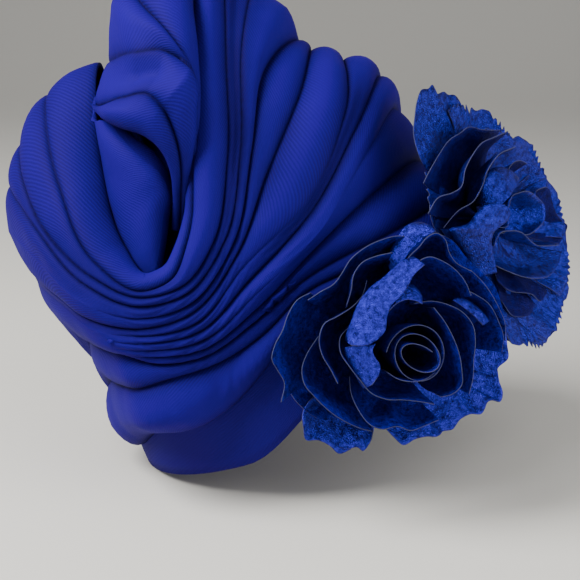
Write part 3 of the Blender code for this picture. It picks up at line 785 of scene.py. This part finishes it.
def seam_controls():
    rows = []
    for drawn, (fan_depth, gather_depth, shell_depth, fan_end, shell_end) in zip(SEAMS, SEAM_DEPTHS):
        near = []
        for k, (place, share) in enumerate(zip(drawn, DEPTH_SHARE)):
            tip = fan_depth if k < 4 else shell_depth
            near.append(hat_point((*place, tip + (gather_depth - tip) * share)))
        fan = dome_path(near[0], math.radians(fan_end), FAR_SHARES)
        shell = dome_path(near[-1], math.radians(shell_end), FAR_SHARES)
        rows.append(fan[::-1] + near + shell)
    return np.array(rows)


def head_wrap(finish):
    controls = seam_controls()
    along = even_places(ALONG_STEPS)
    across = crowded_places(ACROSS_STEPS)
    rows = np.array([through(row, along) for row in controls])
    rows = lift_off_cap(rows, WRAP_CLEARANCE)
    strength = [stretch(FADING_SEAMS[j], along) if j in FADING_SEAMS else None for j in range(len(rows))]
    base = lift_off_cap(through(rows, across), WRAP_CLEARANCE)
    normal = grid_normals(base)
    rise, stitch = pad_rise(rows, across, strength)
    rise = rise * pad_shares(PLEAT_PADDING, along, across)
    # the sewn edge and both far ends are tucked down to the cap
    columns = np.arange(rise.shape[1])
    ends = np.clip(np.minimum(columns, columns[::-1]) / END_COLUMNS, 0, 1) ** 0.5
    rise = rise * ends
    hem = np.clip((len(rise) - 1 - np.arange(len(rise))) / HEM_ROWS, 0, 1) ** 0.5
    height, out = cap_height(base)
    base = base - out * (height - WRAP_TUCK) * (1 - ends[None, :] * hem[:, None])[:, :, None]
    # share of the full padding; the cloth's colour turns it into painted light on the ridges and painted shade in the
    # valleys
    ridge = np.clip(rise / (rise.max(axis=0, keepdims=True) + 1e-6), 0, 1)
    uneven = ripples(base, WRAP_RIPPLES) + fine_folds(rows, across, stretch(FINE_FOLDS, along))
    outer = base + normal * (rise - STITCH_DEPTH * stitch + uneven)[:, :, None]
    padded_piece("wrap_cloth", "head_wrap", outer, ridge, stitch, finish, CLOTH_WALL)


def crown_strap(controls):
    """The roll's seams carried on over the crown, between the wrap's fan edge and its shell edge."""
    first = controls[0][:3][::-1]
    second = controls[0][-3:]
    rows = []
    for seam in range(len(ROLL_SEAMS)):
        row = []
        for one, two, lifts, shares in zip(first, second, ROLL_FAR_LIFTS, ROLL_FAR_SHARES):
            a, b = on_rim(one) / CAP_AXES, on_rim(two) / CAP_AXES
            level = max(np.linalg.norm(a), np.linalg.norm(b))
            mix = a * (1 - shares[seam]) + b * shares[seam]
            mix = mix / np.linalg.norm(mix) * level
            point = off_rim(mix * CAP_AXES)
            row.append(point + cap_height(point)[1] * lifts[seam])
        rows.append(row)
    return rows


def inner_roll(finish):
    far = crown_strap(seam_controls())
    along = even_places(ROLL_ALONG_STEPS)
    across = crowded_places(ACROSS_STEPS)
    rows = np.array([through([hat_point(p) for p in drawn] + tail, along) for drawn, tail in zip(ROLL_SEAMS, far)])
    base = through(rows, across)
    rise, stitch = pad_rise(rows, across, [None] * len(rows))
    # share of the full padding; the cloth's colour turns it into painted light on the ridges and painted shade in the
    # valleys
    ridge = np.clip(rise / (rise.max() + 1e-6), 0, 1)
    rise = rise * pad_shares(ROLL_PADDING, along, across, 0, 3)
    uneven = ripples(base, ROLL_RIPPLES)
    outer = base + grid_normals(base) * (rise - STITCH_DEPTH * stitch + uneven)[:, :, None]
    padded_piece("roll_cloth", "inner_roll", outer, ridge, stitch, finish, CLOTH_WALL)


def inner_fold(finish):
    places = even_places(FOLD_ALONG_STEPS)
    edge = [hat_point(point) for point in FOLD_EDGE]
    back = [hat_point(point) for point in FOLD_BACK]
    # its third line follows the wrap's first seam down into the hollow
    first, last = FOLD_SPANS
    run = through(seam_controls()[0], even_places(CURVE_STEPS))[first * CURVE_STEPS:last * CURVE_STEPS + 1]
    place = np.linspace(FOLD_START, FOLD_REACH, len(edge)) * (len(run) - 1)
    beside = np.array([run[int(p)] + (run[min(int(p) + 1, len(run) - 1)] - run[int(p)]) * (p - int(p)) for p in place])
    beside = beside + hat_point(FOLD_BESIDE)
    rows = np.array((through(back, places), through(edge, places), through(beside, places)))
    across = crowded_places(FOLD_ACROSS_STEPS)
    base = through(rows, across)
    rise, stitch = pad_rise(rows, across, (None, 0.0, None))
    rise = rise * FOLD_PADDING
    stitch[:FOLD_ACROSS_STEPS + 1] = 0
    uneven = ripples(base, FOLD_RIPPLES)
    outer = base + grid_normals(base) * (rise - STITCH_DEPTH * stitch + uneven)[:, :, None]
    # share of the full padding; the cloth's colour turns it into painted light on the ridges and painted shade in the
    # valleys
    ridge = np.clip(rise / FOLD_LIT_RISE, 0, 1)
    padded_piece("fold_cloth", "inner_fold", outer, ridge, stitch, finish, FOLD_WALL)


def smooth_step(share):
    share = min(max(share, 0.0), 1.0)
    return share * share * (3 - 2 * share)


def base_cap(finish):
    grid = []
    for i in range(CAP_LINES + 1):
        lift = math.radians(90) * i / CAP_LINES
        row = []
        for k in range(CAP_COLUMNS + 1):
            turn = 2 * math.pi * k / CAP_COLUMNS
            low = max(0.0, 1 - HEM_FADE * lift / math.radians(90)) ** 1.5
            beside = math.degrees(math.acos(abs(math.cos(turn / 2)))) * 2
            ear = smooth_step((EAR_BACK[0] - beside) / EAR_BACK[1])
            ear = ear * smooth_step((beside - EAR_FRONT[0]) / EAR_FRONT[1])
            drop = (NAPE_DROP * (0.5 - 0.5 * math.cos(turn)) ** 2 - EAR_RISE * ear) * low
            row.append((CAP_AXES[0] * math.cos(lift) * math.cos(turn),
                        CAP_AXES[1] * math.cos(lift) * math.sin(turn),
                        CAP_AXES[2] * math.sin(lift) - drop))
        grid.append(row)
    shape = bmesh.new()
    sheet_mesh(shape, off_rim(np.array(grid)))
    bmesh.ops.remove_doubles(shape, verts=shape.verts[:], dist=POLE_MERGE)
    bmesh.ops.recalc_face_normals(shape, faces=shape.faces[:])
    piece = piece_from("cap_cloth", shape, [finish], CLOTH_WALL)
    point_outward(piece)
    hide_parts("base_cap")


def flower_frame(base, facing):
    """Where a flower is sewn on, and the ways beside, up and out of it."""
    out = hat_point(facing)
    out = out / np.linalg.norm(out)
    side = np.cross(hat_point((0, 1, 0)), out)
    side = side / np.linalg.norm(side)
    return hat_point(base), side, np.cross(out, side), out


def flower_points(flower, polar):
    """Points (angle, reach, height) round the flower's axis as hat points in millimetres."""
    centre, side, up, out = flower
    polar = np.asarray(polar, float)
    angle = np.radians(polar[..., 0:1])
    return centre + (side * np.cos(angle) + up * np.sin(angle)) * polar[..., 1:2] + out * polar[..., 2:3]


def even_line(points, spacing):
    """The line drawn again with points at an even spacing, and how far along each one is."""
    fine = through(points, even_places(CURVE_STEPS))
    run = np.concatenate(((0,), np.cumsum(np.linalg.norm(np.diff(fine, axis=0), axis=1))))
    count = max(8, round(run[-1] / spacing))
    places = np.linspace(0, run[-1], count + 1)
    return np.stack([np.interp(places, run, fine[:, k]) for k in range(3)], axis=1), places


def petal(shape, flower, kind, lip, ridge, seed):
    """One petal from its root by the flower's axis out to its lip, with gentle ruffles and dents."""
    centre, _, _, out = flower
    draw = np.random.RandomState(seed)
    edge, places = even_line(flower_points(flower, lip), LIP_STEP)
    count = len(edge)
    level = (edge - centre) @ out
    radial = edge - centre - level[:, None] * out
    reach = np.linalg.norm(radial, axis=1)
    radial = radial / (reach[:, None] + 1e-6)
    if kind == "pinked":
        share = np.linspace(0, 1, count)
        warped = places / PINK_PITCH + 0.8 * np.sin(places / 6.1 + seed)
        teeth = np.abs(((warped + draw.uniform(0, 1)) % 1) - 0.5) * 2
        ends = np.clip(np.minimum(share, 1 - share) * 8, 0, 1)
        edge = edge - radial * (teeth * PINK_DEPTH * ends * (0.75 + 0.45 * np.sin(places / 5 + seed)))[:, None]
    root_way = radial * (1 - ROOT_GATHER) + radial[count // 2] * ROOT_GATHER
    root_way = root_way / np.linalg.norm(root_way, axis=1, keepdims=True)
    root = centre + root_way * ROOT_REACH[kind] + out * (ROOT_HEIGHT + ROOT_RISE * level.max())
    if ridge is None:
        belly = centre + radial * (reach * BELLY_REACH)[:, None] + out * (level * BELLY_RISE + ROOT_HEIGHT)[:, None]
    else:
        belly, _ = even_line(flower_points(flower, ridge), RIDGE_STEP)
        pick = np.linspace(0, len(belly) - 1, count)
        belly = np.stack([np.interp(pick, np.arange(len(belly)), belly[:, k]) for k in range(3)], axis=1)
    rows = through(np.array((root, belly, edge)), even_places(PETAL_STEPS))
    facing_in = (grid_normals(rows) * (centre + out * level.max() * 0.6 - rows)).sum()
    if facing_in < 0:
        rows, places = rows[:, ::-1], places[::-1]
    reach_share = np.linspace(0, 1, len(rows))[:, None]
    phase = draw.uniform(0, FULL_TURN, 4)
    wave = sum(height * np.sin(places / length + start) for (height, length), start in zip(RUFFLES, phase))
    height, length, slant = DENT
    dents = height * np.sin(places / length + reach_share * slant + phase[2]) * np.sin(reach_share * HALF_TURN)
    damping = FOLD_DAMPING if kind == "fold" else 1.0
    shaped = rows + grid_normals(rows) * ((wave * reach_share ** 2 + dents) * damping)[:, :, None]
    # the lip itself stays where it was drawn; only a fine curl is left in it
    kept = reach_share[:, :, None] ** 6 * LIP_HOLD
    made = sheet_mesh(shape, shaped * (1 - kept) + rows * kept)
    # each petal's inner side gets the foil in painted shade or the bright foil, by its kind
    for face in {face for vert in made for face in vert.link_faces}:
        face.material_index = PETAL_SHADE_SLOT[kind]


def petal_layer(name, node, flower, petals, finishes, seed):
    shape = bmesh.new()
    for number, (kind, lip, *ridge) in enumerate(petals):
        petal(shape, flower, kind, lip, ridge[0] if ridge else None, seed * 50 + number)
    return leather_piece(name, node, shape, finishes)


def spiral_bud(name, node, flower, finishes, reaches, top, windings, tilt):
    """The rolled centre of the flower: an oval strip wound from the middle out, its lip a little uneven."""
    centre, side, up, out = flower
    grid = np.zeros((BUD_LINES + 1, BUD_COLUMNS + 1, 3))
    first, last = reaches
    for k in range(BUD_COLUMNS + 1):
        share = k / BUD_COLUMNS
        angle = windings * 2 * math.pi * share + BUD_START
        reach = first + (last - first) * share ** 0.9 + 0.5 * math.sin(angle * 2.3 + 1)
        crest = top - BUD_FALL * share + 0.9 * math.sin(angle * 1.3)
        along, beside = math.cos(angle), math.sin(angle) * (BUD_BREADTH[0] + BUD_BREADTH[1] * share)
        way = (side * (along * math.cos(tilt) - beside * math.sin(tilt))
               + up * (along * math.sin(tilt) + beside * math.cos(tilt)))
        for i in range(BUD_LINES + 1):
            level = i / BUD_LINES
            flare = reach * (0.66 + 0.34 * math.sin(level * math.pi * 0.6)) + 0.6 * level ** 5
            grid[i, k] = centre + way * flare + out * (BUD_FOOT + (crest - BUD_FOOT) * level)
    shape = bmesh.new()
    sheet_mesh(shape, grid)
    return leather_piece(name, node, shape, finishes)


cloth_wrap = knit_cloth("wrap knit", CLOTH_SHADED_VALLEY, CLOTH_LIT_RIDGE)
cloth_roll = knit_cloth("roll knit", CLOTH_SHADED_VALLEY, CLOTH_LIT_RIDGE)
cloth_cap = knit_cloth("cap knit", (0.008, 0.001, 0.11), (0.012, 0.002, 0.14))
foil = {
    "temple": foil_leather("temple foil", (0.004, 0.003, 0.08), (0.036, 0.034, 0.49)),
    "forehead": foil_leather("forehead foil", (0.004, 0.003, 0.08), (0.027, 0.032, 0.46)),
}
# the same foil as a copy in painted shade, darker still on the forehead flower, for the inner sides of cups, folds,
# hidden petals and the buds
foil_shaded = {
    "temple": foil_leather("temple foil in painted shade", (0.002, 0.001, 0.05), (0.009, 0.007, 0.27),
                           metal=0.15, roughness=0.5, gloss=0.03),
    "forehead": foil_leather("forehead foil in painted shade", (0.002, 0.0005, 0.04), (0.005, 0.003, 0.12),
                             metal=0.3, roughness=0.55, gloss=0.08),
}
edge = cut_edge("cut edge")

head_wrap(cloth_wrap)
inner_roll(cloth_roll)
inner_fold(cloth_roll)
base_cap(cloth_cap)

for flower_name, first_seed in (("temple", 11), ("forehead", 31)):
    base, facing, bud_reaches, bud_top, bud_turns, bud_tilt = FLOWERS[flower_name]
    flower = flower_frame(base, facing)
    bright, shaded_foil = foil[flower_name], foil_shaded[flower_name]
    # slots: inner side in painted shade, cut edge, bright outer side; then bright inner side, cut edge, bright outer
    # side
    finishes = [shaded_foil, edge, bright, bright, edge, bright]
    layers = {"bud": spiral_bud(flower_name + "_bud", flower_name + "_flower_bud", flower, finishes,
                                bud_reaches, bud_top, bud_turns, bud_tilt)}
    for number, (layer, petals) in enumerate(PETALS[flower_name].items()):
        layers[layer] = petal_layer(flower_name + "_petals_" + layer, flower_name + "_flower_" + layer,
                                    flower, petals, finishes, first_seed + number)


def plain_stage():
    """A pale floor under the hat that curves up into a wall well behind it."""
    pale, _, _, shader = new_finish("pale paper")
    settle(shader, {"Base Color": (0.62, 0.60, 0.55, 1), "Roughness": 0.9})
    toward = Vector(DRAWING[2])
    behind = Vector((-toward.x, -toward.y, 0)).normalized()
    beside = behind.cross(Vector((0, 0, 1)))
    sweep = bmesh.new()
    bmesh.ops.create_grid(sweep, x_segments=1, y_segments=STAGE_STEPS, size=1)
    for corner in sweep.verts:
        along = STAGE_FRONT + (corner.co.y + 1) / 2 * STAGE_LENGTH
        turn = min(max((along - STAGE_BACK) / STAGE_BEND, 0.0), math.pi / 2)
        wall = max(along - STAGE_BACK - STAGE_BEND * math.pi / 2, 0.0)
        reach = min(along, STAGE_BACK) + STAGE_BEND * math.sin(turn)
        height = STAGE_FLOOR + STAGE_BEND * (1 - math.cos(turn)) + wall
        corner.co = behind * reach + beside * corner.co.x * STAGE_HALF_WIDTH + Vector((0, 0, height))
    mesh = bpy.data.meshes.new("floor")
    sweep.to_mesh(mesh)
    sweep.free()
    mesh.shade_smooth()
    mesh.materials.append(pale)
    put_in_scene("floor", mesh)


def soft_light(name, place, aim, size, power):
    light = bpy.data.lights.new(name, "AREA")
    light.shape = "DISK"
    light.size = size
    light.energy = power
    lamp = put_in_scene(name, light)
    lamp.location = Vector(hat_point(place) * MM)
    way = Vector(hat_point(aim) * MM) - lamp.location
    lamp.rotation_euler = way.to_track_quat("-Z", "Y").to_euler()


def photo_camera():
    camera = bpy.data.cameras.new("camera")
    camera.sensor_width = CAMERA_FILM
    camera.lens = CAMERA_LENS
    camera.clip_start = 0.01
    holder = put_in_scene("camera", camera)
    across, up, toward = (Vector(axis) for axis in DRAWING)
    turned = Matrix((across, up, toward)).transposed().to_4x4()
    turned.translation = toward * CAMERA_AWAY + across * CAMERA_ACROSS + up * CAMERA_UP
    holder.matrix_world = turned
    bpy.context.scene.camera = holder


def room_air():
    """Even light from all round."""
    world = bpy.data.worlds.new("room air")
    world.use_nodes = True
    settle(world.node_tree.nodes["Background"], {"Color": AIR_COLOUR, "Strength": AIR_STRENGTH})
    bpy.context.scene.world = world


plain_stage()
for light_name, (place, aim, size, power) in LIGHTS.items():
    soft_light(light_name, place, aim, size, power)
room_air()
photo_camera()
